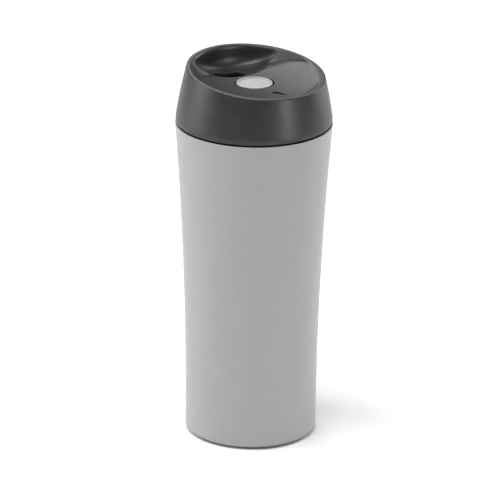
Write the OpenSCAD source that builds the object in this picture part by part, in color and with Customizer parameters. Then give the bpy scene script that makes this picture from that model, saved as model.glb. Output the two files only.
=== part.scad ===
// Insulated travel mug with a screw-on lid and a push button valve.
// The foot stands on z = 0, the mug's axis is Z, and the drinking side of the lid faces +Y.

/* [Mug body] */
// Height of the body, from the table to the joint with the lid
body_h = 156; // [150:1:162]
// Diameter of the body at the joint with the lid
top_d = 75; // [74:0.5:77]
// Diameter of the body just above its foot
base_d = 63; // [61:0.5:65]
// Sheet thickness of the outer shell
shell_t = 0.8; // [0.6:0.1:1]
// Sheet thickness of the inner cup
liner_t = 0.6; // [0.5:0.1:0.8]
// Insulating gap between the outer shell and the inner cup
gap_t = 3.6; // [3.2:0.1:3.8]

/* [Lid] */
// Height of the rim above the joint on the drinking side
rim_high = 29.5; // [28.5:0.5:30.5]
// Height of the rim above the joint on the vent side
rim_low = 21.5; // [21:0.5:22]
// Radius of the rim on the drinking side
rim_r = 32; // [31.5:0.25:32.5]
// Wall thickness of the lid shell
lid_t = 2; // [1.8:0.1:2.2]
// Lead of the quick thread, for one full turn
lead = 16; // [14:1:18]
// Lugs of the quick thread
lugs = 4; // [3:1:4]

/* [Dish and drinking bowl] */
// Radius of the dished top across its width
dish_r = 86; // [80:1:95]
// Height of the dished top above the joint, at the button
dish_h = 19.4; // [19.2:0.1:19.6]
// Distance of the bowl's centre from the axis
bowl_y = 20.1; // [19.8:0.1:20.4]
// Rounding of the bowl across its width
bowl_r = 12.9; // [12.5:0.1:13]
// Radius of the bowl along its length
bowl_len_r = 32; // [31.5:0.1:33]
// Lowest height of the bowl above the joint
bowl_h = 16.8; // [16.7:0.1:17.2]
// Length of the drink slot
slot_l = 16; // [14:0.2:16.4]
// Width of the drink slot
slot_w = 7.4; // [6.4:0.2:7.4]

/* [Button and valve] */
// Diameter of the button's hole
button_hole_d = 18.6; // [18.4:0.1:18.8]
// Diameter of the button's face
button_d = 17.2; // [17:0.1:17.6]
// Travel of the button
travel = 4.5; // [3.5:0.1:4.6]
// Diameter of the valve stem
stem_d = 4.8; // [4.6:0.1:5]
// Diameter of the valve's hole
valve_d = 16.4; // [15.6:0.1:17]

/* [Hidden] */

$fn = 96;
eps = 0.01;
big = 60;

// Body shell: an arc that is upright just above the foot and flares to the top.
top_r = top_d / 2;
base_r = base_d / 2;
waist_z = 5;
flare = pow(body_h - waist_z, 2) / (2 * (top_r - base_r));
function body_r(z) = base_r + pow(z - waist_z, 2) / (2 * flare);
function wall(inset, z0, z1, n) = [for (i = [0:n]) let (z = z0 + (z1 - z0) * i / n) [body_r(z) - inset, z]];
function arc(x, z, r, a0, a1, n) = [for (i = [0:n]) let (a = a0 + (a1 - a0) * i / n)
    [x + r * cos(a), z + r * sin(a)]];
function reverse(list) = [for (i = [len(list) - 1:-1:0]) list[i]];

// Foot
foot_h = 1.1;
corner_r = 1.6;
flange_r = base_r - 5;
plate_r = base_r - 3;
plate_z = foot_h + shell_t;
plate_t = 0.8;
cap_r = base_r - 2;
cap_z = 0.2;
cap_edge = 0.2;
cap_rim_t = 0.7;
cap_fit = 0.1;
pad_r = base_r - 6;
pad_w = 8;
pad_h = 0.8;
getter_r = 6;
getter_h = 1.8;

// Inner cup and neck
liner_out = shell_t + gap_t;
liner_in = liner_out + liner_t;
liner_z = 7;
liner_corner = 6;
neck_z = body_h - 17;
lip_fit = 0.02;
seal_h = 0.6;
seal_in = 0.6;
seal_out = 2.2;
collar_z = neck_z + liner_t + seal_h;
collar_top = body_h - 0.5;
curve_start = 1;
shelf_h = 1.6;
shelf_z = collar_z + shelf_h;
mouth_r = top_r - 4.1;
shelf_r = mouth_r - 2.4;
collar_gap = 0.1;

// Lid plug and quick thread: both threads lie on helices of the same lead.
plug_r = mouth_r - 1.6;
plug_t = 2;
plug_z = shelf_z + 2;
floor_t = 2;
floor_z = plug_z + floor_t;
lug_span = 62;
lug_t = 1.5;
lug_depth = 1.15;
lug_root = 0.3;
lug_flank = 0.25;
lug_z = plug_z + 4.2;
lug_gap = 0.3;
lug_steps = 12;
nose_r = plug_r - 2;
nose_t = 1.5;
nose_z = plug_z - 1.6;
gasket_z = shelf_z + 0.05;
gasket_h = plug_z - gasket_z - 0.1;
gasket_in = nose_r + 0.1;
gasket_out = mouth_r - 1.4;
insert_flange_r = top_r - 3.1;
insert_flange_z = body_h + 1.4;
insert_flange_h = 2;
insert_top = insert_flange_z + insert_flange_h;
oring_r = 0.95;
oring_centre = insert_flange_r - 2;

// Lid shell: the side is one arc, cut by the slanted plane of the rim.
lid_z = body_h + 0.4;
lid_belly_u = 3.2;
lid_belly_r = top_r - 0.2;
lid_edge_r = top_r - 1.5;
lid_edge = [[lid_edge_r, 0], [lid_edge_r + 0.6, 0.3], [lid_belly_r - 0.15, 1.6]];
side_bow = 229;
lid_top_u = 31;
// The side arc passes through the belly and through the high point of the rim.
side_du = rim_high - lid_belly_u;
side_dr = lid_belly_r - rim_r;
function side_r(u) = lid_belly_r - side_dr * (u - lid_belly_u) / side_du
    + (u - lid_belly_u) * (rim_high - u) / (2 * side_bow);
// Radius of the rim on the vent side, where the plane meets the side arc.
low_r = side_r(rim_low);
tilt = atan((rim_high - rim_low) / (rim_r + low_r));
rim_mid_y = (rim_r - low_r) / 2;
rim_mid_u = (rim_high + rim_low) / 2;
// The rim is highest a little to the left of the drink slot, seen from the vent.
rim_turn = 10;
rim_cone_top = 6;
lip_r = (rim_r + low_r) / 2 - 2;
lip_slope = 0.8;
lip_depth = 9;
bowl_lip_r = lip_r - 0.6;
bowl_lip_slope = 0.1;
bowl_lip_depth = 15;
bead_r = insert_flange_r + 0.3;
bead_throat = insert_flange_r - 0.6;
throat_h = 0.6;
ledge_r = plug_r - 0.5;
ledge_t = 1.5;
cavity_u = 7;
cavity_roof = 4.2;

// Dish and bowl: the dish is a trough that falls a little towards the bowl.
dish_fall = 1.7;
bowl_turn = -9;
bowl_ring = bowl_len_r - bowl_r;
bowl_axis_u = bowl_h + bowl_len_r;
bowl_wall = 1.8;
slot_x = -0.3;
slot_y = 20.4;
slot_turn = -6;
slot_depth = 6;

// Vent
vent_y = -18.2;
vent_r = 1.4;
vent_boss_u = 15;
vent_boss_r = 3;
drop_r = 1.9;
drop_l = 7;
drop_tip = 0.5;
drop_turn = 20;
drop_sweep = 195;
drop_u = 18.7;

// Button, guide and valve
hole_r = button_hole_d / 2;
face_r = button_d / 2;
boss_t = 1.9;
button_top = body_h + 19.8;
face_z = button_top - 0.8;
face_rim_t = 0.7;
face_edge = 0.4;
cap_t = 1.4;
cap_skirt_t = 1.2;
cap_bottom = button_top - 6.4;
cap_boss_t = 1.6;
guide_r = hole_r - 0.08;
guide_h = 1;
boss_z = cap_bottom - travel - 0.5;
stem_r = stem_d / 2;
stem_fit = 0.06;
sleeve_bore = 7.4;
sleeve_floor = boss_z - 11;
sleeve_floor_t = 1.5;
gland_r = 5.6;
gland_h = 2.5;
gland_lip = 0.7;
seal_pocket_r = 4.15;
seal_ring_r = 0.82;
seal_ring_fit = 0.07;
head_r = 6.9;
neck_r = 4;
rotor_z = boss_z + 0.4;
rotor_h = 2.4;
rotor_ribs = 4;
rotor_rib_w = 2;
rotor_body_r = head_r - 1;
crown_z = rotor_z + rotor_h + 0.5;
crown_h = 1.6;
spring_r = 4.4;
wire_r = 0.4;
spring_play = 0.05;
spring_turns = 5;
spring_sides = 6;
spring_steps = 16;
seat_r = valve_d / 2;
seat_lip_t = 1.2;
seat_lip_h = 1.2;
seat_z = plug_z - seat_lip_h;
disc_r = seat_r + 1.6;
valve_seal_h = 0.9;
disc_t = 2;
disc_play = 0.1;
disc_z = seat_z - disc_play - valve_seal_h - disc_t;
valve_seal_in = seat_r - 1.2;
valve_seal_out = disc_r - 0.2;
clip_t = 0.6;
clip_r = stem_r + 2;
clip_groove_r = stem_r - 0.5;
clip_z = disc_z - disc_play - clip_t;
stem_end = clip_z - 1.2;

// A ring of the given radii and heights about the mug's axis.
module ring(r_out, r_in, z0, z1) {
    rotate_extrude()
        translate([r_in, z0])
            square([r_out - r_in, z1 - z0]);
}

// One lug of a quick thread: a bar with sloping flanks that climbs along a helix.
module lug(r_root, r_crest, z, start) {
    rings = [for (i = [0:lug_steps]) let (a = lug_span * i / lug_steps, h = z + lead * a / 360)
        for (c = [[r_root, 0], [r_crest, lug_flank], [r_crest, lug_t - lug_flank], [r_root, lug_t]])
            [c[0] * cos(start + a), c[0] * sin(start + a), h + c[1]]];
    inward = r_crest < r_root;
    sides = [for (i = [0:lug_steps - 1]) for (k = [0:3])
        let (a = 4 * i + k, b = 4 * i + (k + 1) % 4)
            inward ? [a + 4, b + 4, b, a] : [a, b, b + 4, a + 4]];
    last = 4 * lug_steps;
    ends = inward ? [[0, 1, 2, 3], [last + 3, last + 2, last + 1, last]]
        : [[3, 2, 1, 0], [last, last + 1, last + 2, last + 3]];
    polyhedron(points = rings, faces = concat(sides, ends), convexity = 4);
}

module thread(r_root, r_crest, z) {
    for (i = [0:lugs - 1])
        lug(r_root, r_crest, z, i * 360 / lugs);
}

// ---- Mug body ----

module outer_shell() {
    outside = concat(arc(base_r - corner_r, foot_h + corner_r, corner_r, -90, 0, 6),
        wall(0, foot_h + corner_r + curve_start, body_h, 24));
    inside = concat(reverse(wall(shell_t, foot_h + corner_r + curve_start, body_h, 24)),
        arc(base_r - corner_r, foot_h + corner_r, corner_r - shell_t, 0, -90, 6));
    flange = [[flange_r, foot_h + shell_t], [flange_r, foot_h]];
    color("lightgray")
        rotate_extrude()
            polygon(concat(outside, inside, flange));
}

module inner_liner() {
    z0 = liner_z + liner_corner;
    outer_corner_x = body_r(z0) - liner_out - liner_corner;
    outside = concat(arc(outer_corner_x, z0, liner_corner, -90, 0, 6),
        wall(liner_out, z0 + curve_start, neck_z, 20));
    inside = concat(reverse(wall(liner_in, z0 + curve_start, neck_z + liner_t, 20)),
        arc(outer_corner_x, z0, liner_corner - liner_t, 0, -90, 6));
    lip_r_out = body_r(neck_z) - shell_t - lip_fit;
    lip = [[lip_r_out, neck_z], [lip_r_out, neck_z + liner_t]];
    color("silver")
        rotate_extrude()
            polygon(concat([[0, liner_z]], outside, lip, inside, [[0, liner_z + liner_t]]));
}

module neck_collar() {
    outside = wall(shell_t + collar_gap, collar_z, collar_top, 6);
    inside = [[mouth_r, collar_top], [mouth_r, shelf_z], [shelf_r, shelf_z], [shelf_r, collar_z]];
    color("dimgray")
        union() {
            rotate_extrude()
                polygon(concat(outside, inside));
            thread(mouth_r + lug_root, mouth_r - lug_depth, lug_z + lug_t + lug_gap);
        }
}

module collar_seal() {
    color("white")
        ring(shelf_r + seal_out, shelf_r + seal_in, neck_z + liner_t, collar_z);
}

module base_plate() {
    color("silver")
        translate([0, 0, plate_z])
            cylinder(r = plate_r, h = plate_t);
}

module getter_capsule() {
    color("goldenrod")
        translate([0, 0, plate_z + plate_t])
            cylinder(r = getter_r, h = getter_h);
}

module base_cap() {
    rim = [[0, cap_z], [cap_r - cap_edge, cap_z], [cap_r, cap_z + cap_edge], [cap_r, cap_z + cap_rim_t]];
    plug = [[flange_r - cap_fit, cap_z + cap_rim_t], [flange_r - cap_fit, plate_z], [0, plate_z]];
    color("darkgray")
        difference() {
            rotate_extrude()
                polygon(concat(rim, plug));
            translate([0, 0, -eps])
                cylinder(r = pad_r, h = pad_h + eps);
        }
}

module foot_pad() {
    color("gray")
        ring(pad_r - cap_fit, pad_r - pad_w, 0, pad_h);
}

// ---- Lid ----

// Moves its children from the rim's own frame, square to its slanted plane, into the mug's frame.
module on_rim() {
    rotate([0, 0, rim_turn])
        translate([0, rim_mid_y, body_h + rim_mid_u])
            rotate([tilt, 0, 0])
                children();
}

// Everything more than drop below the rim's plane.
module below_rim(drop) {
    on_rim()
        translate([-big, -big, -2 * big - drop])
            cube([2 * big, 2 * big, 2 * big]);
}

// A cone square to the rim's plane, wide at the rim and narrower below.
module rim_cone(r, slope, depth) {
    on_rim()
        translate([0, 0, -depth])
            cylinder(r1 = r - slope * depth, r2 = r + slope * rim_cone_top, h = depth + rim_cone_top);
}

module dish_trough(extra) {
    translate([0, 0, body_h + dish_h + dish_r])
        rotate([90 - dish_fall, 0, 0])
            cylinder(r = dish_r + extra, h = 4 * big, center = true, $fn = 200);
}

// The bowl is pressed into the dish by an upright wheel with a round tread.
module bowl_wheel(extra) {
    rotate([0, 0, bowl_turn])
        translate([0, bowl_y, body_h + bowl_axis_u])
            rotate([90, 0, 0])
                rotate_extrude($fn = 180)
                    union() {
                        translate([bowl_ring, 0])
                            circle(r = bowl_r + extra);
                        translate([0, -bowl_r - extra])
                            square([bowl_ring, 2 * (bowl_r + extra)]);
                    }
}

// Outline of the vent's recess: round at the hole and pointed at the other end.
function drop_outline() = concat(
    [for (a = [180 - drop_sweep:15:drop_sweep]) [drop_r * cos(a), drop_r * sin(a)]],
    [[-drop_tip, -drop_l + drop_tip], [0, -drop_l], [drop_tip, -drop_l + drop_tip]]);

module slot_outline() {
    for (x = [-1, 1])
        translate([x * (slot_l - slot_w) / 2, 0])
            circle(d = slot_w);
    square([slot_l - slot_w, slot_w], center = true);
}

module lid_outside() {
    edge = [for (p = lid_edge) [p[0], lid_z + p[1]]];
    side = [for (i = [0:14]) let (u = lid_belly_u + (lid_top_u - lid_belly_u) * i / 14)
        [side_r(u), body_h + u]];
    rotate_extrude()
        polygon(concat([[0, lid_z]], edge, side, [[0, body_h + lid_top_u]]));
}

// The hollow that takes the insert, its seal and the guide sleeve.
module lid_cavity() {
    ledge_z = insert_top + 2 * oring_r;
    side = [for (i = [0:10]) let (u = cavity_u + (lid_top_u - cavity_u) * i / 10)
        [side_r(u) - lid_t, body_h + u]];
    throat = [[0, lid_z - eps], [bead_throat, lid_z - eps], [bead_throat, lid_z + throat_h],
        [bead_r, insert_flange_z]];
    ledge = [[bead_r, ledge_z], [ledge_r, ledge_z], [ledge_r, ledge_z + ledge_t]];
    difference() {
        intersection() {
            rotate_extrude()
                polygon(concat(throat, ledge, side, [[0, body_h + lid_top_u]]));
            below_rim(cavity_roof);
        }
        dish_trough(lid_t);
        bowl_wheel(bowl_wall);
        translate([0, 0, boss_z])
            cylinder(r = hole_r + boss_t, h = big);
        translate([0, vent_y, body_h + vent_boss_u])
            cylinder(r = vent_boss_r, h = big);
    }
}

module lid_holes() {
    translate([0, 0, boss_z - 1])
        cylinder(r = hole_r, h = big);
    translate([slot_x, slot_y, body_h + bowl_h - slot_depth])
        rotate([0, 0, slot_turn])
            linear_extrude(height = slot_depth + 4)
                slot_outline();
    translate([0, vent_y, body_h + vent_boss_u - 5])
        cylinder(r = vent_r, h = 20);
    translate([0, vent_y, body_h + drop_u])
        rotate([0, 0, drop_turn])
            linear_extrude(height = 10)
                polygon(drop_outline());
}

module lid_shell() {
    color("#38393b")
        difference() {
            intersection() {
                lid_outside();
                below_rim(0);
            }
            intersection() {
                dish_trough(0);
                rim_cone(lip_r, lip_slope, lip_depth);
            }
            intersection() {
                bowl_wheel(0);
                rim_cone(bowl_lip_r, bowl_lip_slope, bowl_lip_depth);
            }
            lid_cavity();
            lid_holes();
        }
}

module lid_insert() {
    lip = [[seat_r, seat_z], [seat_r + seat_lip_t, seat_z], [seat_r + seat_lip_t, plug_z]];
    nose = [[nose_r - nose_t, plug_z], [nose_r - nose_t, nose_z], [nose_r, nose_z], [nose_r, plug_z]];
    flange = [[plug_r, insert_flange_z], [insert_flange_r, insert_flange_z], [insert_flange_r, insert_top]];
    inside = [[plug_r - plug_t, insert_top], [plug_r - plug_t, floor_z], [seat_r, floor_z]];
    color("#2e2f31")
        union() {
            rotate_extrude()
                polygon(concat(lip, nose, [[plug_r, plug_z]], flange, inside));
            thread(plug_r - lug_root, plug_r + lug_depth, lug_z);
        }
}

module insert_seal() {
    color("white")
        translate([0, 0, insert_top + oring_r])
            rotate_extrude()
                translate([oring_centre, 0])
                    circle(r = oring_r, $fn = 24);
}

module lid_gasket() {
    color("white")
        ring(gasket_out, gasket_in, gasket_z, gasket_z + gasket_h);
}

// ---- Button, guide and valve ----

module guide_sleeve() {
    color("darkslategray")
        difference() {
            union() {
                translate([0, 0, sleeve_floor])
                    cylinder(r = hole_r + boss_t, h = boss_z - sleeve_floor);
                translate([0, 0, sleeve_floor - gland_h])
                    cylinder(r = gland_r, h = gland_h + eps);
            }
            translate([0, 0, sleeve_floor + sleeve_floor_t])
                cylinder(r = sleeve_bore, h = big);
            translate([0, 0, sleeve_floor - gland_h - 1])
                cylinder(r = stem_r + stem_fit, h = big);
            translate([0, 0, sleeve_floor - gland_h + gland_lip])
                cylinder(r = seal_pocket_r, h = gland_h - gland_lip);
        }
}

module stem_seal() {
    color("white")
        translate([0, 0, sleeve_floor - gland_h + gland_lip + (gland_h - gland_lip) / 2])
            rotate_extrude()
                translate([stem_r + seal_ring_fit + seal_ring_r, 0])
                    circle(r = seal_ring_r, $fn = 24);
}

// The face lies inside a low rim, and the skirt ends in a flange that slides in the lid's hole.
module button_cap() {
    face_in = face_r - face_rim_t;
    face = [[0, face_z], [face_in, face_z], [face_in, button_top]];
    round_edge = arc(face_r - face_edge, button_top - face_edge, face_edge, 90, 0, 4);
    skirt = [[face_r, cap_bottom + guide_h], [guide_r, cap_bottom + guide_h], [guide_r, cap_bottom]];
    color("#b9bbbd")
        difference() {
            rotate_extrude()
                polygon(concat(face, round_edge, skirt, [[0, cap_bottom]]));
            difference() {
                translate([0, 0, cap_bottom - eps])
                    cylinder(r = face_r - cap_skirt_t, h = face_z - cap_t - cap_bottom + eps);
                ring(neck_r + cap_boss_t, neck_r, cap_bottom, face_z);
            }
        }
}

module plunger() {
    color("whitesmoke")
        difference() {
            union() {
                translate([0, 0, stem_end])
                    cylinder(r = stem_r, h = crown_z - stem_end + eps);
                translate([0, 0, crown_z])
                    cylinder(r = head_r, h = crown_h);
                translate([0, 0, crown_z])
                    cylinder(r = neck_r, h = face_z - cap_t - crown_z);
            }
            ring(stem_r + 1, clip_groove_r, clip_z, clip_z + clip_t);
        }
}

module cam_rotor() {
    color("orange")
        difference() {
            union() {
                translate([0, 0, rotor_z])
                    cylinder(r = rotor_body_r, h = rotor_h);
                for (i = [0:rotor_ribs - 1])
                    rotate([0, 0, i * 360 / rotor_ribs])
                        translate([0, -rotor_rib_w / 2, rotor_z])
                            cube([head_r, rotor_rib_w, rotor_h]);
            }
            translate([0, 0, rotor_z - 1])
                cylinder(r = stem_r + stem_fit, h = rotor_h + 2);
        }
}

// A coil that stands on the sleeve's floor and carries the rotor.
module return_spring() {
    z0 = sleeve_floor + sleeve_floor_t + wire_r + spring_play;
    z1 = rotor_z - wire_r - spring_play;
    steps = spring_turns * spring_steps;
    rings = [for (i = [0:steps]) let (a = 360 * i / spring_steps, z = z0 + (z1 - z0) * i / steps)
        for (k = [0:spring_sides - 1]) let (b = 360 * k / spring_sides, r = spring_r + wire_r * cos(b))
            [r * cos(a), r * sin(a), z + wire_r * sin(b)]];
    sides = [for (i = [0:steps - 1]) for (k = [0:spring_sides - 1])
        let (a = spring_sides * i + k, b = spring_sides * i + (k + 1) % spring_sides)
            [a, a + spring_sides, b + spring_sides, b]];
    first = [for (k = [0:spring_sides - 1]) k];
    last = [for (k = [spring_sides - 1:-1:0]) spring_sides * steps + k];
    color("silver")
        polyhedron(points = rings, faces = concat(sides, [first, last]), convexity = 10);
}

module valve_disc() {
    color("whitesmoke")
        difference() {
            translate([0, 0, disc_z])
                cylinder(r = disc_r, h = disc_t);
            translate([0, 0, disc_z - 1])
                cylinder(r = stem_r, h = disc_t + 2);
        }
}

module valve_seal() {
    color("white")
        ring(valve_seal_out, valve_seal_in, disc_z + disc_t, disc_z + disc_t + valve_seal_h);
}

module retaining_clip() {
    color("silver")
        difference() {
            ring(clip_r, clip_groove_r, clip_z, clip_z + clip_t);
            translate([0, -clip_groove_r, clip_z - 1])
                cube([clip_r + 1, 2 * clip_groove_r, clip_t + 2]);
        }
}

outer_shell();
inner_liner();
neck_collar();
collar_seal();
base_plate();
getter_capsule();
base_cap();
foot_pad();
lid_shell();
lid_insert();
insert_seal();
guide_sleeve();
stem_seal();
lid_gasket();
button_cap();
plunger();
cam_rotor();
return_spring();
valve_disc();
valve_seal();
retaining_clip();
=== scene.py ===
"""Insulated travel mug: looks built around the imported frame. Shapes are worked out in millimetres."""

import math

import bpy
import numpy as np
from mathutils import Matrix, Vector


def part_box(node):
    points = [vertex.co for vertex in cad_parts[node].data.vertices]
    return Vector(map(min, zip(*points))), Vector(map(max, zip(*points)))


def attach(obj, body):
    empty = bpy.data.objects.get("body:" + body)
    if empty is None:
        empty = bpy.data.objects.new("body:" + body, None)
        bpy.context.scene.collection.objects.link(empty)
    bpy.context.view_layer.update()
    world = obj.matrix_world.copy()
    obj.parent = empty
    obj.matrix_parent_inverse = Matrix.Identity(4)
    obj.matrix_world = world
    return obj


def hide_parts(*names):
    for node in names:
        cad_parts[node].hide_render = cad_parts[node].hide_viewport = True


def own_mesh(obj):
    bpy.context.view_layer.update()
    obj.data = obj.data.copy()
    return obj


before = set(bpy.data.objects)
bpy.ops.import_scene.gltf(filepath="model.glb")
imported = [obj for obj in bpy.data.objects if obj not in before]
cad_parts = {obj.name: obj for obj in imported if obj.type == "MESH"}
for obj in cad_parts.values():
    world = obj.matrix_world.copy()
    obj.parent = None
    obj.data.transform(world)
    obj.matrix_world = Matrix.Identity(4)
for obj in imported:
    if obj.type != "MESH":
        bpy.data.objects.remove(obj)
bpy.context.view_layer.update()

MM = 0.001


def low_z(node):
    """Lowest height of a CAD node, in millimetres."""
    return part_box(node)[0].z / MM


def high_z(node):
    """Highest height of a CAD node, in millimetres."""
    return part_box(node)[1].z / MM


def out_r(node):
    """Outer radius of a round CAD node, in millimetres."""
    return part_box(node)[1].x / MM


# ---- Sizes, from the frame where it holds them ----

BODY_H = high_z("outer_shell")
TOP_R = out_r("outer_shell")
FOOT_Z = low_z("outer_shell")
BASE_R = 31.5
WAIST_Z = 5
SHELL_T = 0.8
LINER_OUT = 4.4
LINER_IN = 5.0
LINER_CORNER = 6
SHELL_CORNER = 1.6
FLANGE_R = BASE_R - 5
LID_STEP = 0.35

LID_Z = low_z("lid_shell")
RIM_HIGH = high_z("lid_shell") - BODY_H
RIM_LOW = 21.5
RIM_R = 32
BELLY_R = out_r("lid_shell")
BELLY_U = 3.2
SIDE_BOW = 229


def body_r(z):
    """Radius of the body's outer face at height z."""
    return BASE_R + (TOP_R - BASE_R) * ((z - WAIST_Z) / (BODY_H - WAIST_Z)) ** 2


# ---- Materials ----


class Paint:
    """A procedural material under construction: short names for the nodes that it needs."""

    def __init__(self, name, roughness, metallic=0.0, **uniform):
        self.material = bpy.data.materials.new(name)
        self.material.use_nodes = True
        self.tree = self.material.node_tree
        self.shader = self.tree.nodes["Principled BSDF"]
        self.shader.inputs["Metallic"].default_value = metallic
        self.shader.inputs["Roughness"].default_value = roughness
        for socket, value in uniform.items():
            self.shader.inputs[socket.replace("_", " ")].default_value = value
        self.place = self.node("ShaderNodeTexCoord").outputs["Object"]

    def node(self, kind, **settings):
        made = self.tree.nodes.new(kind)
        for key, value in settings.items():
            setattr(made, key, value)
        return made

    def link(self, source, target):
        self.tree.links.new(source, target)

    def stretched(self, scale):
        """Object coordinates scaled on each axis."""
        mapping = self.node("ShaderNodeMapping")
        mapping.inputs["Scale"].default_value = scale
        self.link(self.place, mapping.inputs["Vector"])
        return mapping.outputs["Vector"]

    def noise(self, size_mm, detail=2.0, stretch=(1, 1, 1)):
        """Noise whose features are about size_mm across."""
        made = self.node("ShaderNodeTexNoise")
        made.inputs["Scale"].default_value = 1 / (size_mm * MM)
        made.inputs["Detail"].default_value = detail
        self.link(self.stretched(stretch), made.inputs["Vector"])
        return made.outputs["Fac"]

    def spread(self, value, low, high, start=0.3, end=0.7):
        """Noise value mapped from start..end to low..high."""
        made = self.node("ShaderNodeMapRange")
        for socket, number in zip(("From Min", "From Max", "To Min", "To Max"), (start, end, low, high)):
            made.inputs[socket].default_value = number
        self.link(value, made.inputs["Value"])
        return made.outputs["Result"]

    def colour(self, value, first, second):
        """Base colour that runs from first to second with value."""
        ramp = self.node("ShaderNodeValToRGB")
        ramp.color_ramp.elements[0].color = (*first, 1)
        ramp.color_ramp.elements[1].color = (*second, 1)
        ramp.color_ramp.elements[0].position = 0.35
        ramp.color_ramp.elements[1].position = 0.65
        self.link(value, ramp.inputs["Fac"])
        self.link(ramp.outputs["Color"], self.shader.inputs["Base Color"])

    def roughness(self, value, low, high):
        self.link(self.spread(value, low, high), self.shader.inputs["Roughness"])

    def bump(self, value, height_mm, strength=1.0):
        made = self.node("ShaderNodeBump")
        made.inputs["Distance"].default_value = height_mm * MM
        made.inputs["Strength"].default_value = strength
        self.link(value, made.inputs["Height"])
        if self.shader.inputs["Normal"].is_linked:
            self.link(self.shader.inputs["Normal"].links[0].from_socket, made.inputs["Normal"])
        self.link(made.outputs["Normal"], self.shader.inputs["Normal"])


def grey(level):
    return (level, level, level)


def painted_steel():
    paint = Paint("grey_paint", 0.42, Coat_Weight=0.15, Coat_Roughness=0.35)
    paint.colour(paint.noise(9, 3), (0.34, 0.34, 0.342), (0.349, 0.348, 0.349))
    paint.roughness(paint.noise(3, 4), 0.38, 0.48)
    paint.bump(paint.noise(0.35, 2), 0.010)
    paint.bump(paint.noise(2.2, 1), 0.012)
    return paint.material


def black_plastic(name="black_plastic", low=0.33, high=0.43):
    paint = Paint(name, low, IOR=1.5)
    paint.colour(paint.noise(6, 3), (0.020, 0.0205, 0.021), (0.026, 0.0262, 0.027))
    paint.roughness(paint.noise(1.2, 4), low, high)
    paint.bump(paint.noise(0.25, 2), 0.006)
    return paint.material


def brushed_steel():
    paint = Paint("brushed_steel", 0.25, metallic=1.0)
    lines = paint.noise(2.5, 4, stretch=(1, 1, 22))
    paint.colour(lines, (0.55, 0.55, 0.56), (0.68, 0.67, 0.66))
    paint.roughness(lines, 0.22, 0.38)
    paint.bump(lines, 0.008)
    return paint.material


def silicone(name="silicone", level=0.62):
    paint = Paint(name, 0.5, Subsurface_Weight=0.15, Subsurface_Scale=0.001)
    paint.colour(paint.noise(4, 3), grey(level * 0.95), grey(level * 1.03))
    paint.roughness(paint.noise(1.5, 3), 0.42, 0.58)
    paint.bump(paint.noise(0.3, 2), 0.006)
    return paint.material


def moulded(name, level, low, high, grain=0.3, height=0.008):
    paint = Paint(name, low)
    paint.colour(paint.noise(5, 3), grey(level * 0.94), grey(level * 1.06))
    paint.roughness(paint.noise(1.4, 3), low, high)
    paint.bump(paint.noise(grain, 2), height)
    return paint.material


def drawn_metal(name, level, low, high):
    paint = Paint(name, low, metallic=1.0)
    paint.colour(paint.noise(1.5, 4), grey(level * 0.9), grey(level))
    paint.roughness(paint.noise(0.8, 3), low, high)
    paint.bump(paint.noise(0.2, 2), 0.003)
    return paint.material


GREY_PAINT = painted_steel()
BLACK = black_plastic()
STEEL = brushed_steel()
SILICONE = silicone()
CAP_GREY = moulded("base_plastic", 0.16, 0.45, 0.6)
RUBBER = moulded("pad_rubber", 0.09, 0.75, 0.9, grain=0.5, height=0.02)
INSERT = moulded("insert_plastic", 0.028, 0.35, 0.5)
BUTTON = moulded("button_plastic", 0.42, 0.28, 0.38, grain=0.35, height=0.004)
WHITE = moulded("white_plastic", 0.72, 0.35, 0.5)
SPRING = drawn_metal("spring_steel", 0.6, 0.2, 0.35)
GETTER = drawn_metal("getter_metal", 0.5, 0.35, 0.5)

NODE_MATERIALS = {
    "outer_shell": GREY_PAINT, "inner_liner": STEEL, "neck_collar": INSERT, "collar_seal": SILICONE,
    "base_plate": STEEL, "getter_capsule": GETTER, "base_cap": CAP_GREY, "foot_pad": RUBBER,
    "lid_shell": BLACK, "lid_insert": INSERT, "insert_seal": SILICONE, "guide_sleeve": INSERT,
    "stem_seal": SILICONE, "lid_gasket": SILICONE, "button_cap": BUTTON, "plunger": WHITE,
    "cam_rotor": WHITE, "return_spring": SPRING, "valve_disc": WHITE, "valve_seal": SILICONE,
    "retaining_clip": SPRING,
}


def dress(node, material):
    """Gives a CAD node that stays its material."""
    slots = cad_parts[node].data.materials
    slots.clear()
    slots.append(material)


for node_name, node_material in NODE_MATERIALS.items():
    dress(node_name, node_material)


# ---- Shapes turned about the mug's axis ----


def corners(outline, steps=4):
    """Outline points from (radius, height, rounding) corners: each corner with a rounding becomes an arc."""
    points = []
    count = len(outline)
    for i, (r, z, rounding) in enumerate(outline):
        here = Vector((r, z))
        if rounding <= 0:
            points.append((r, z))
            continue
        before = (Vector(outline[i - 1][:2]) - here).normalized()
        after = (Vector(outline[(i + 1) % count][:2]) - here).normalized()
        angle = before.angle(after)
        reach = rounding / math.tan(angle / 2)
        middle = here + (before + after).normalized() * (rounding / math.sin(angle / 2))
        first, last = here + before * reach - middle, here + after * reach - middle
        for k in range(steps + 1):
            swing = first.lerp(last, k / steps).normalized() * rounding
            points.append(tuple(middle + swing))
    return points


def add_mesh(name, points, faces, material, body, nodes, slot):
    """A smooth mesh in millimetres that rides on a body and stands for CAD nodes."""
    mesh = bpy.data.meshes.new(name)
    mesh.from_pydata([tuple(c * MM for c in p) for p in points], [], faces)
    mesh.materials.append(material)
    mesh.shade_smooth()
    piece = bpy.data.objects.new(name, mesh)
    bpy.context.scene.collection.objects.link(piece)
    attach(piece, body)
    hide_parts(*nodes)
    return piece


def even_normals(piece):
    """Flat faces shade flat and roundings shade round."""
    modifier = piece.modifiers.new("even_normals", "WEIGHTED_NORMAL")
    modifier.keep_sharp = True
    modifier.weight = 100


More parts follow.
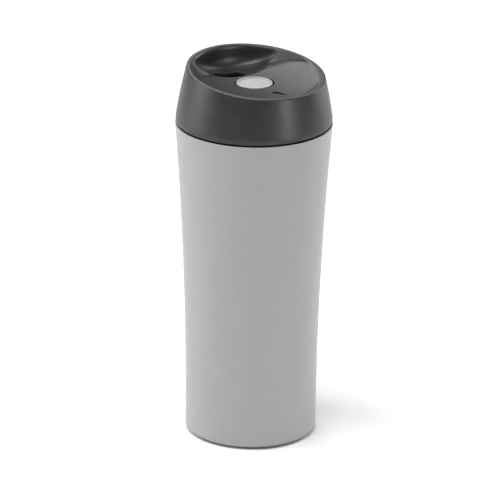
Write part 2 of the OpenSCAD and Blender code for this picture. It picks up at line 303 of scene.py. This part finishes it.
def turned(outline, segments=128):
    """Points and faces of a closed outline turned about the axis; points on the axis become poles."""
    points, rings = [], []
    for r, z in outline:
        if r < 1e-6:
            rings.append([len(points)] * segments)
            points.append((0, 0, z))
            continue
        rings.append(list(range(len(points), len(points) + segments)))
        for k in range(segments):
            a = 2 * math.pi * k / segments
            points.append((r * math.cos(a), r * math.sin(a), z))
    faces = []
    for i, ring in enumerate(rings):
        following = rings[(i + 1) % len(rings)]
        if ring[0] == ring[1] and following[0] == following[1]:
            continue
        for k in range(segments):
            m = (k + 1) % segments
            around = [ring[k], ring[m], following[m], following[k]]
            faces.append(tuple(dict.fromkeys(around)))
    return points, faces


def add_turned(name, outline, material, body, nodes, slot, segments=128):
    piece = add_mesh(name, *turned(corners(outline), segments), material, body, nodes, slot)
    even_normals(piece)
    return piece


# ---- Shapes held as fields: negative inside, in millimetres ----


def meet(a, b, rounding=0.0):
    """Both at once, with the edge between them rounded."""
    if rounding == 0:
        return np.maximum(a, b)
    outside = np.hypot(np.maximum(a + rounding, 0), np.maximum(b + rounding, 0))
    return np.minimum(np.maximum(a, b), -rounding) + outside


def join(a, b, rounding=0.0):
    """Either one, with the inner corner between them filled round."""
    return -meet(-a, -b, rounding)


def cut(a, b, rounding=0.0):
    """The first without the second, with the edge rounded."""
    return meet(a, -b, rounding)


def turned_by(degrees, x, y):
    """Coordinates in a frame that is turned about the mug's axis."""
    c, s = math.cos(math.radians(degrees)), math.sin(math.radians(degrees))
    return x * c + y * s, y * c - x * s


class Lid:
    """The black lid shell: a slanted rim, a dish with a drinking bowl, and holes for drink, button and air."""

    low_r = BELLY_R - (BELLY_R - RIM_R) * (RIM_LOW - BELLY_U) / (RIM_HIGH - BELLY_U) \
        + (RIM_LOW - BELLY_U) * (RIM_HIGH - RIM_LOW) / (2 * SIDE_BOW)
    tilt = math.atan((RIM_HIGH - RIM_LOW) / (RIM_R + low_r))
    rim_turn = 10
    rim_y = (RIM_R - low_r) / 2
    rim_u = (RIM_HIGH + RIM_LOW) / 2
    lip_r = (RIM_R + low_r) / 2 - 2
    lip_slope = 0.8
    bowl_lip_r = lip_r - 0.6
    bowl_lip_slope = 0.1
    # A little flatter than the CAD dish, so the right side of the rim stays thin.
    dish_r, dish_u, dish_fall = 94, 19.4, math.radians(1.7)
    bowl_turn, bowl_y, bowl_r, bowl_len_r, bowl_u = -9, 20.1, 12.9, 32, 16.8
    slot_x, slot_y, slot_l, slot_w, slot_turn = -0.3, 20.4, 16, 7.4, -6
    hole_r, boss_r, boss_u = 9.3, 11.2, 8.4
    vent_y, vent_r, vent_boss_r, vent_boss_u = -18.2, 1.4, 3, 15
    drop_r, drop_tip, drop_tip_r, drop_turn, drop_u = 1.9, 6.85, 0.15, 20, 18.7
    wall, bowl_wall, roof = 2, 1.8, 4.2
    ledge_r, ledge_u, bead_r, bead_u = 31.3, 6.8, 34.7, 5.27
    edge, fine_edge = 0.45, 0.3

    @classmethod
    def side(cls, r, u):
        """Outside face: one arc, a little bowed, upright below the belly."""
        rise = np.maximum(u - BELLY_U, 0)
        reach = rise / (RIM_HIGH - BELLY_U)
        bow = rise * (RIM_HIGH - u) / (2 * SIDE_BOW)
        return (r - (BELLY_R - (BELLY_R - RIM_R) * reach + bow)) * 0.97

    @classmethod
    def rim(cls, x, y, u):
        """Height above the slanted plane of the rim, and distance from the rim's own axis."""
        across, along = turned_by(cls.rim_turn, x, y)
        c, s = math.cos(cls.tilt), math.sin(cls.tilt)
        dy, du = along - cls.rim_y, u - cls.rim_u
        return du * c - dy * s, np.hypot(across, dy * c + du * s)

    @classmethod
    def cone(cls, x, y, u, radius, slope):
        above, away = cls.rim(x, y, u)
        return (away - radius - slope * above) / math.hypot(1, slope)

    @classmethod
    def trough(cls, x, y, u):
        """The dished top: round across the lid, straight along it, and falling a little towards the bowl."""
        height = (u - cls.dish_u - cls.dish_r) * math.cos(cls.dish_fall) + y * math.sin(cls.dish_fall)
        return np.hypot(x, height) - cls.dish_r

    @classmethod
    def bowl_wheel(cls, x, y, u):
        """An upright wheel with a round tread."""
        along, across = turned_by(cls.bowl_turn, x, y)
        q = np.hypot(along, u - cls.bowl_u - cls.bowl_len_r) - cls.bowl_len_r + cls.bowl_r
        return np.hypot(np.maximum(q, 0), across - cls.bowl_y) - cls.bowl_r

    @classmethod
    def slot(cls, x, y):
        """Outline of the drink slot."""
        along, across = turned_by(cls.slot_turn, x - cls.slot_x, y - cls.slot_y)
        beyond = np.maximum(np.abs(along) - (cls.slot_l - cls.slot_w) / 2, 0)
        return np.hypot(beyond, across) - cls.slot_w / 2

    @classmethod
    def drop(cls, x, y):
        """Outline of the vent's recess: round at the hole and pointed at the other end."""
        p, q = turned_by(cls.drop_turn, x, y - cls.vent_y)
        p, q = np.abs(p), -q
        b = (cls.drop_r - cls.drop_tip_r) / cls.drop_tip
        a = math.sqrt(1 - b * b)
        along = p * -b + q * a
        side = p * a + q * b - cls.drop_r
        side = np.where(along < 0, np.hypot(p, q) - cls.drop_r, side)
        return np.where(along > a * cls.drop_tip, np.hypot(p, q - cls.drop_tip) - cls.drop_tip_r, side)

    @classmethod
    def cavity(cls, x, y, u, r):
        """The hollow that takes the insert and the guide sleeve."""
        above, _ = cls.rim(x, y, u)
        room = meet(meet(cls.side(r, u) + cls.wall, above + cls.roof), cls.bead_u - u)
        room = cut(room, meet(cls.ledge_r - r, u - cls.ledge_u))
        room = join(room, meet(r - cls.bead_r, u - cls.bead_u))
        room = cut(room, cls.trough(x, y, u) - cls.wall)
        room = cut(room, cls.bowl_wheel(x, y, u) - cls.bowl_wall)
        room = cut(room, meet(r - cls.boss_r, cls.boss_u - u))
        return cut(room, meet(np.hypot(x, y - cls.vent_y) - cls.vent_boss_r, cls.vent_boss_u - u))

    @classmethod
    def field(cls, x, y, z):
        u = z - BODY_H
        r = np.hypot(x, y)
        above, _ = cls.rim(x, y, u)
        solid = meet(cls.side(r, u), LID_Z - z, 1.4)
        solid = meet(solid, above, cls.edge)
        dish = meet(cls.trough(x, y, u), cls.cone(x, y, u, cls.lip_r, cls.lip_slope), 1)
        bowl = meet(cls.bowl_wheel(x, y, u), cls.cone(x, y, u, cls.bowl_lip_r, cls.bowl_lip_slope), 2)
        hollow = join(dish, bowl, cls.edge)
        hollow = join(hollow, meet(cls.slot(x, y), 10 - u), cls.fine_edge)
        hollow = join(hollow, meet(r - cls.hole_r, cls.boss_u - 2 - u), cls.fine_edge)
        hollow = join(hollow, meet(cls.drop(x, y), cls.drop_u - u, 0.2), cls.fine_edge)
        hollow = join(hollow, meet(np.hypot(x, y - cls.vent_y) - cls.vent_r, 8 - u), 0.15)
        solid = cut(solid, hollow, cls.edge)
        return cut(solid, cls.cavity(x, y, u, r))


def slope_of(field, points, reach=0.01):
    """Gradient of a field at points."""
    parts = []
    for axis in range(3):
        shift = np.zeros(3)
        shift[axis] = reach
        parts.append(field(*(points + shift).T) - field(*(points - shift).T))
    return np.stack(parts, 1) / (2 * reach)


def settle(field, points, steps):
    """Points moved onto the surface of a field."""
    for _ in range(steps):
        slope = slope_of(field, points)
        size = np.maximum((slope**2).sum(1), 0.05)
        points = points - slope * np.clip(field(*points.T) / size, -0.3, 0.3)[:, None]
    return points


def surface_of(field, low, high, step):
    """Points and four-sided faces of a field's surface: one point in each grid cell that it crosses."""
    ticks = [np.arange(a - 1.5 * step, b + 2 * step, step) for a, b in zip(low, high)]
    layers = [field(*np.meshgrid(ticks[0], ticks[1], t, indexing="ij")) for t in ticks[2]]
    value = np.concatenate(layers, 2)
    inside = value < 0
    shape = [n - 1 for n in value.shape]
    total, weight = np.zeros((*shape, 3)), np.zeros(shape)
    crossings = []
    for axis in range(3):
        near = [slice(None)] * 3
        far = [slice(None)] * 3
        near[axis], far[axis] = slice(None, -1), slice(1, None)
        where = np.argwhere(inside[tuple(near)] != inside[tuple(far)])
        a = value[tuple(near)][tuple(where.T)]
        b = value[tuple(far)][tuple(where.T)]
        spot = where.astype(float)
        spot[:, axis] += a / (a - b)
        others = [k for k in range(3) if k != axis]
        for i in (0, 1):
            for j in (0, 1):
                cell = where.copy()
                cell[:, others[0]] -= i
                cell[:, others[1]] -= j
                np.add.at(total, tuple(cell.T), spot)
                np.add.at(weight, tuple(cell.T), 1)
        crossings.append((axis, others, where, a < 0))
    crossed = weight > 0
    index = np.full(shape, -1)
    index[crossed] = np.arange(crossed.sum())
    points = total[crossed] / weight[crossed][:, None]
    points = points * step + np.array([t[0] for t in ticks])
    faces = []
    for axis, others, where, starts_inside in crossings:
        ring = []
        for i, j in ((1, 1), (0, 1), (0, 0), (1, 0)):
            cell = where.copy()
            cell[:, others[0]] -= i
            cell[:, others[1]] -= j
            ring.append(index[tuple(cell.T)])
        quads = np.stack(ring, 1)
        turn = starts_inside if axis != 1 else ~starts_inside
        quads[~turn] = quads[~turn][:, ::-1]
        faces.append(quads)
    return points, np.concatenate(faces)


def add_field(name, field, low, high, step, material, body, nodes, slot, keep=1.0):
    """A smooth mesh of a field's surface, thinned to a share of its faces and shaded by the field's own slope."""
    points, faces = surface_of(field, low, high, step)
    points = settle(field, points, 3)
    piece = add_mesh(name, points.tolist(), faces.tolist(), material, body, nodes, slot)
    if keep < 1:
        thin = piece.modifiers.new("thin", "DECIMATE")
        thin.ratio = keep
        graph = bpy.context.evaluated_depsgraph_get()
        mesh = bpy.data.meshes.new_from_object(piece.evaluated_get(graph))
        piece.modifiers.remove(thin)
        piece.data = mesh
        mesh.name = name
        mesh.shade_smooth()
    places = np.array([v.co for v in piece.data.vertices], float) / MM
    places = settle(field, places, 2)
    piece.data.vertices.foreach_set("co", (places * MM).ravel())
    slopes = slope_of(field, places, 0.02)
    slopes /= np.linalg.norm(slopes, axis=1)[:, None]
    piece.data.normals_split_custom_set_from_vertices(slopes.tolist())
    piece.data.update()
    return piece


def add_lid():
    low, high = (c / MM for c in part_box("lid_shell"))
    return add_field("lid_shell_finished", Lid.field, low, high, LID_STEP, BLACK, "lid", ["lid_shell"],
                     "lid_plastic", keep=0.4)


# ---- Pieces ----


def wall(inset, heights):
    """Outline points of the body's wall, set in from its outer face."""
    return [(body_r(z) - inset, z, 0) for z in heights]


def add_shell():
    heights = [5 + 6 * i for i in range(25)]
    outline = [(FLANGE_R, FOOT_Z, 0), (BASE_R, FOOT_Z, SHELL_CORNER), *wall(0, heights),
               (TOP_R, BODY_H, 0.2), (TOP_R - SHELL_T, BODY_H, 0.2), *wall(SHELL_T, heights[::-1]),
               (BASE_R - SHELL_T, FOOT_Z + SHELL_T, SHELL_CORNER - SHELL_T), (FLANGE_R, FOOT_Z + SHELL_T, 0)]
    add_turned("outer_shell_finished", outline, GREY_PAINT, "mug", ["outer_shell"], "grey_paint", 192)


def add_liner():
    bottom, neck = low_z("inner_liner"), high_z("inner_liner")
    heights = [14 + 5 * i for i in range(26)]
    lip_r = out_r("inner_liner")
    corner_r = body_r(bottom + LINER_CORNER)
    sheet = LINER_IN - LINER_OUT
    outline = [(0, bottom, 0), (corner_r - LINER_OUT, bottom, LINER_CORNER), *wall(LINER_OUT, heights[:-1]),
               (body_r(neck - sheet) - LINER_OUT, neck - sheet, 0), (lip_r, neck - sheet, 0), (lip_r, neck, 0),
               (body_r(neck) - LINER_IN, neck, 0.2), *wall(LINER_IN, heights[-2::-1]),
               (corner_r - LINER_IN, bottom + sheet, LINER_CORNER - sheet), (0, bottom + sheet, 0)]
    add_turned("inner_liner_finished", outline, STEEL, "mug", ["inner_liner"], "steel", 160)


def add_foot():
    low, high, rim_r, pad_r = low_z("base_cap"), high_z("base_cap"), out_r("base_cap"), out_r("foot_pad")
    pad_h = high_z("foot_pad")
    pad_in = pad_r - 7.9
    plug_r = FLANGE_R - 0.1
    cap = [(0, pad_h, 0), (pad_r + 0.1, pad_h, 0), (pad_r + 0.1, low, 0.1), (rim_r, low, 0.2),
           (rim_r, low + 0.7, 0.15), (plug_r, low + 0.7, 0), (plug_r, high, 0), (0, high, 0)]
    add_turned("base_cap_finished", cap, CAP_GREY, "mug", ["base_cap"], "grey_plastic")
    pad = [(pad_in, 0, 0.2), (pad_r, 0, 0.2), (pad_r, pad_h, 0), (pad_in, pad_h, 0)]
    add_turned("foot_pad_finished", pad, RUBBER, "mug", ["foot_pad"], "pad_rubber")


def add_gasket():
    low, high, outer = low_z("lid_gasket"), high_z("lid_gasket"), out_r("lid_gasket")
    inner = outer - 2.1
    ring = [(inner, low, 0.4), (outer, low, 0.4), (outer, high, 0.4), (inner, high, 0.4)]
    add_turned("lid_gasket_finished", ring, SILICONE, "gasket", ["lid_gasket"], "silicone")


def add_button():
    low, top, guide_r = low_z("button_cap"), high_z("button_cap"), out_r("button_cap")
    face_r, face_z, boss_r, neck_r = guide_r - 0.62, top - 0.8, 5.6, 4
    under = face_z - 1.4
    cap = [(0, face_z, 0), (face_r - 0.7, face_z, 0.3), (face_r - 0.7, top, 0.25), (face_r, top, 0.3),
           (face_r, low + 1, 0.15), (guide_r, low + 1, 0.15), (guide_r, low, 0.15), (face_r - 1.2, low, 0.1),
           (face_r - 1.2, under, 0.3), (boss_r, under, 0.3), (boss_r, low, 0.1), (neck_r, low, 0.1),
           (neck_r, under, 0), (0, under, 0)]
    add_turned("button_cap_finished", cap, BUTTON, "button", ["button_cap"], "button_plastic", 160)


def add_spring():
    """A coil with closed ends; the whole coil rides on the button."""
    coil_r, wire_r, turns, steps, sides = 4.4, 0.4, 5, 40, 10
    low, high = low_z("return_spring") + wire_r, high_z("return_spring") - wire_r
    count = turns * steps
    points, faces = [], []
    for i in range(count + 1):
        share = i / count
        eased = share - math.sin(4 * math.pi * share) / (8 * math.pi)
        a = 2 * math.pi * i / steps
        for k in range(sides):
            b = 2 * math.pi * k / sides
            r = coil_r + wire_r * math.cos(b)
            points.append((r * math.cos(a), r * math.sin(a), low + (high - low) * eased + wire_r * math.sin(b)))
    for i in range(count):
        for k in range(sides):
            m = (k + 1) % sides
            faces.append((i * sides + k, (i + 1) * sides + k, (i + 1) * sides + m, i * sides + m))
    faces.append(tuple(range(sides)))
    faces.append(tuple(range(count * sides + sides - 1, count * sides - 1, -1)))
    spring = add_mesh("return_spring_finished", points, faces, SPRING, "button", ["return_spring"],
                      "spring_steel")
    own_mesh(spring)


add_lid()
add_shell()
add_liner()
add_foot()
add_gasket()
add_button()
add_spring()

# ---- Floor, lights and camera ----

CAMERA_AZIMUTH = -35
CAMERA_ELEVATION = 20.684
CAMERA_ROLL = 0.677
CAMERA_DISTANCE = 2397.3
CAMERA_LENS = 360
TARGET_Z = 90.87
TARGET_SIDE = -1.2


def direction(azimuth, elevation):
    """Unit vector from the mug towards azimuth and elevation, with azimuth 0 on the -Y side."""
    a, e = math.radians(azimuth), math.radians(elevation)
    return Vector((math.sin(a) * math.cos(e), -math.cos(a) * math.cos(e), math.sin(e)))


def add_camera():
    back = direction(CAMERA_AZIMUTH, CAMERA_ELEVATION)
    right = direction(CAMERA_AZIMUTH + 90, 0)
    up = back.cross(right)
    target = right * TARGET_SIDE + Vector((0, 0, TARGET_Z))
    data = bpy.data.cameras.new("camera")
    data.lens = CAMERA_LENS
    data.sensor_width = 36
    data.clip_start = 0.1
    data.clip_end = 100
    camera = bpy.data.objects.new("camera", data)
    bpy.context.scene.collection.objects.link(camera)
    axes = Matrix((right, up, back)).transposed()
    rolled = axes @ Matrix.Rotation(math.radians(CAMERA_ROLL), 3, "Z")
    camera.matrix_world = Matrix.Translation((target + back * CAMERA_DISTANCE) * MM) @ rolled.to_4x4()
    bpy.context.scene.camera = camera


def add_floor():
    half = 40
    mesh = bpy.data.meshes.new("floor")
    square = [(-half, -half, 0), (half, -half, 0), (half, half, 0), (-half, half, 0)]
    mesh.from_pydata(square, [], [(0, 1, 2, 3)])
    floor = bpy.data.objects.new("floor", mesh)
    bpy.context.scene.collection.objects.link(floor)
    paint = Paint("floor_paint", 0.9, Specular_IOR_Level=0.0)
    paint.shader.inputs["Base Color"].default_value = (0.95, 0.95, 0.95, 1)
    mesh.materials.append(paint.material)


def add_panel(name, azimuth, elevation, distance, width, height, watts):
    """A soft rectangular light that faces the middle of the mug. Azimuth counts from the camera's side."""
    data = bpy.data.lights.new(name, "AREA")
    data.shape = "RECTANGLE"
    data.size = width
    data.size_y = height
    data.energy = watts
    panel = bpy.data.objects.new(name, data)
    bpy.context.scene.collection.objects.link(panel)
    aim = direction(CAMERA_AZIMUTH + azimuth, elevation)
    panel.location = Vector((0, 0, 0.1)) + aim * distance
    panel.rotation_mode = "QUATERNION"
    panel.rotation_quaternion = aim.to_track_quat("Z", "Y")


def add_world(level):
    world = bpy.data.worlds.new("studio")
    world.use_nodes = True
    world.node_tree.nodes["Background"].inputs["Color"].default_value = (1, 1, 1, 1)
    world.node_tree.nodes["Background"].inputs["Strength"].default_value = level
    bpy.context.scene.world = world


bpy.context.scene.view_settings.view_transform = "Standard"
add_camera()
add_floor()
add_world(0.12)
add_panel("left_panel", -92, 24, 1.5, 0.9, 1.4, 15)
add_panel("right_panel", 124, 22, 1.7, 0.7, 1.4, 13)
add_panel("top_panel", -25, 72, 1.6, 1.0, 1.0, 21)
add_panel("front_strip", 50, 8, 1.8, 0.4, 0.9, 9)
add_panel("back_panel", -170, 42, 1.8, 0.9, 0.6, 8)
